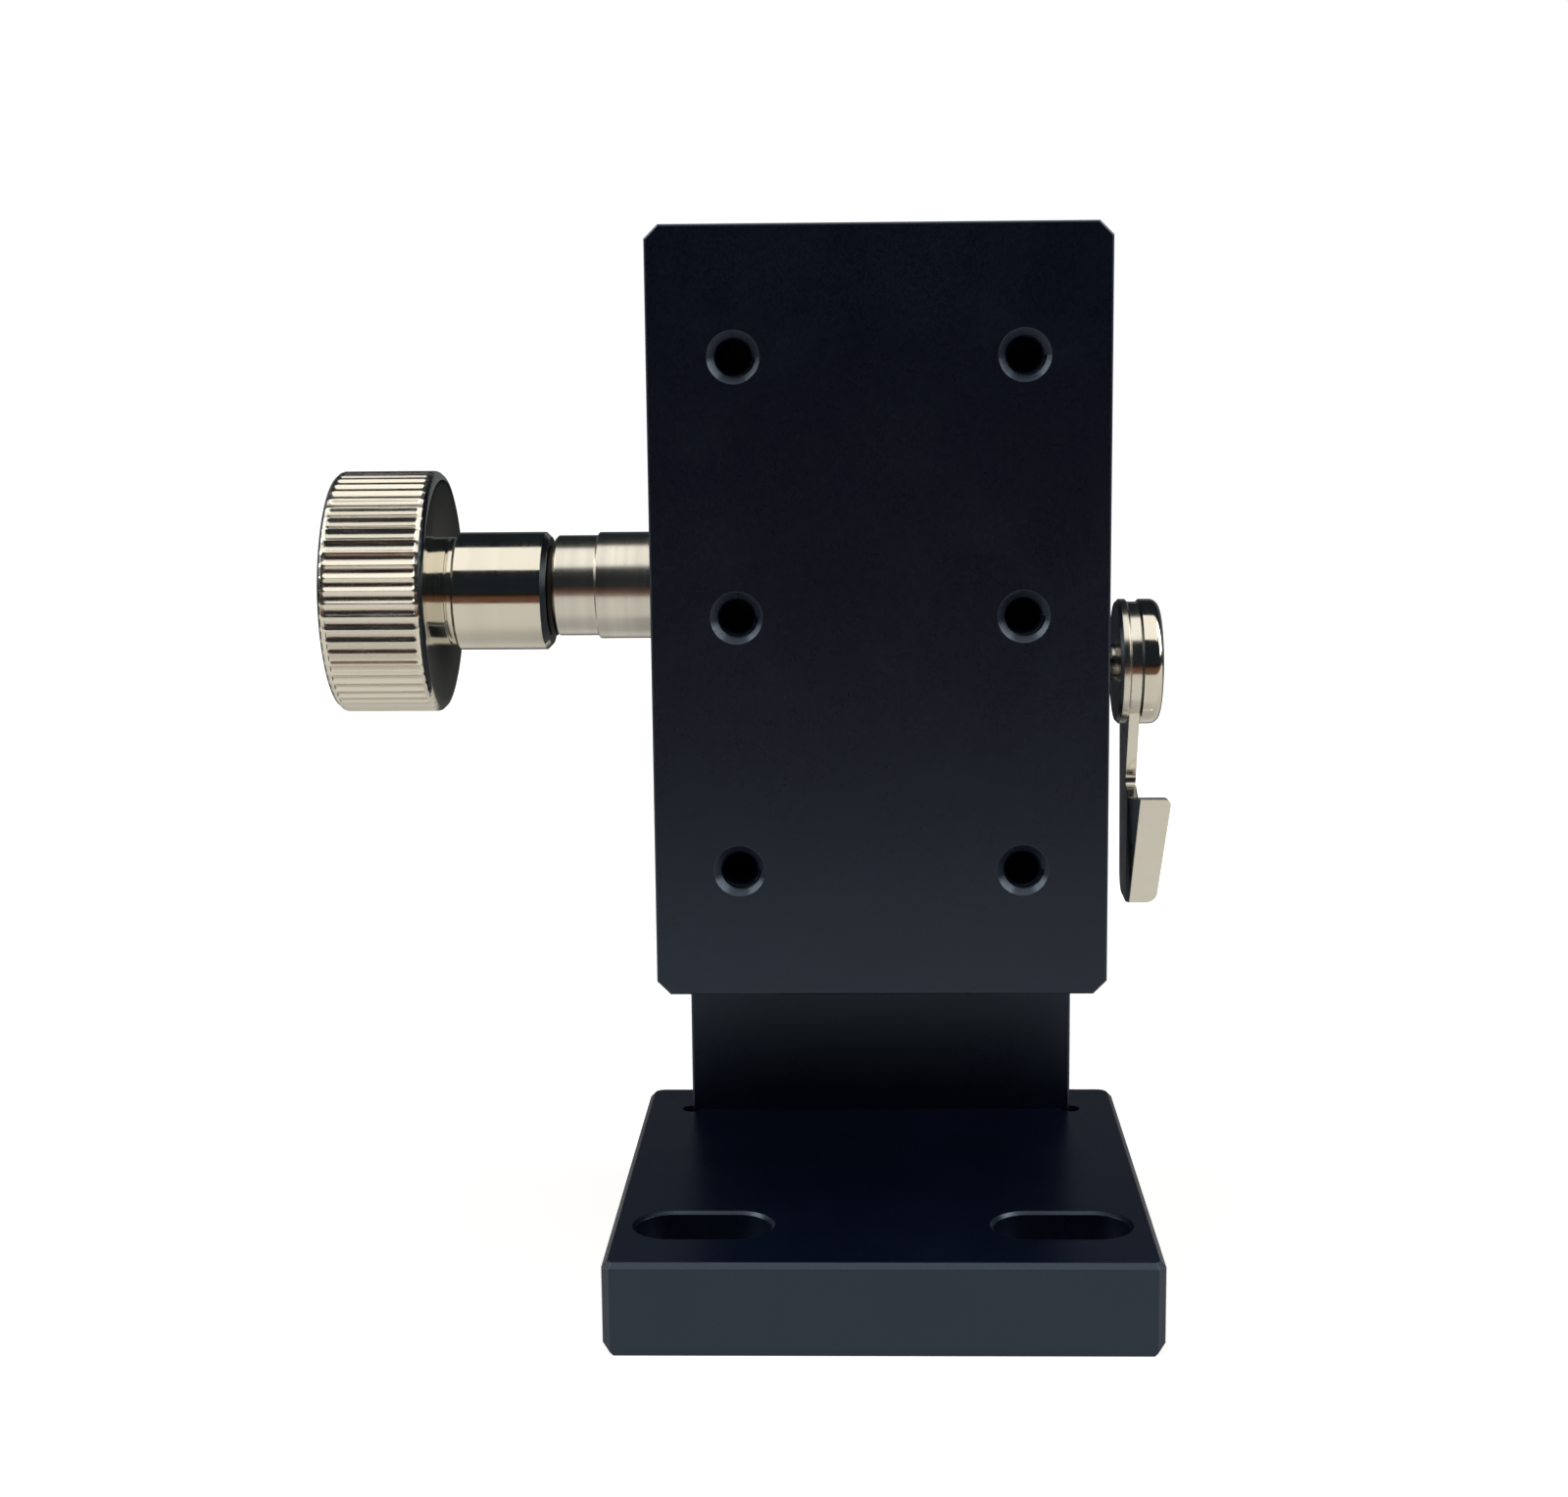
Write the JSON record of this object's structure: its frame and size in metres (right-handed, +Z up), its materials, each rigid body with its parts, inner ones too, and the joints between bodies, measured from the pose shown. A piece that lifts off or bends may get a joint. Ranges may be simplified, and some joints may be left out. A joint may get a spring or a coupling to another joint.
{
  "type": "manual z-axis stage",
  "caption": "Black vertical dovetail stage on a slotted base, with a tapped table, a knurled knob that drives it up and down, and a clamp lever.",
  "frame": {"origin": "centre of the underside of the base plate", "axes": "+Z up along the travel, the table faces -Y, the knob is at -X and the clamp lever at +X"},
  "size_m": [0.0794, 0.05, 0.099],
  "materials": {
    "black_anodised": "satin",
    "nickel": "polished",
    "steel": "satin",
    "black_steel": "satin",
    "brass": "satin",
    "washer_plastic": "matt"
  },
  "bodies": {
    "stand": {"base_plate": "black_anodised", "column": "black_anodised", "slide_block": "black_anodised", "gib": "brass", "pinion_bush": "nickel", "end_bush": "brass", "bush_set_screw": "black_steel", "clamp_pad": "brass", "stop_pin": "steel", "column_screw_1": "black_steel", "column_screw_2": "black_steel", "column_screw_3": "black_steel", "block_screw_1": "black_steel", "block_screw_2": "black_steel", "block_screw_3": "black_steel", "block_screw_4": "black_steel", "gib_screw_1": "black_steel", "gib_screw_2": "black_steel", "gib_screw_3": "black_steel"},
    "table_unit": {"table": "black_anodised", "rack": "steel", "rack_screw_1": "steel", "rack_screw_2": "steel"},
    "knob_unit": {"knob": "nickel", "pinion_shaft": "steel", "thrust_washer": "washer_plastic", "knob_set_screw": "black_steel"},
    "clamp_unit": {"clamp_screw": "nickel", "clamp_lever": "nickel", "clamp_cap": "nickel"}
  },
  "joints": [
    {"name": "table_travel", "type": "slide", "parent": "stand", "child": "table_unit", "axis": [0, 0, 1], "range_m": [-0.02, 0.02]},
    {"name": "knob_turn", "type": "hinge", "parent": "stand", "child": "knob_unit", "pos_m": [-0.0375, 0.00555, 0.06525], "axis": [1, 0, 0], "range_deg": [-255, 255]},
    {"name": "clamp_turn", "type": "hinge", "parent": "stand", "child": "clamp_unit", "pos_m": [0.0235, -0.004, 0.05925], "axis": [1, 0, 0], "range_deg": [-60, 30]}
  ],
  "couplings": [
    {"joint": "knob_turn", "follows": "table_travel", "rad_per_m": -222.22}
  ]
}
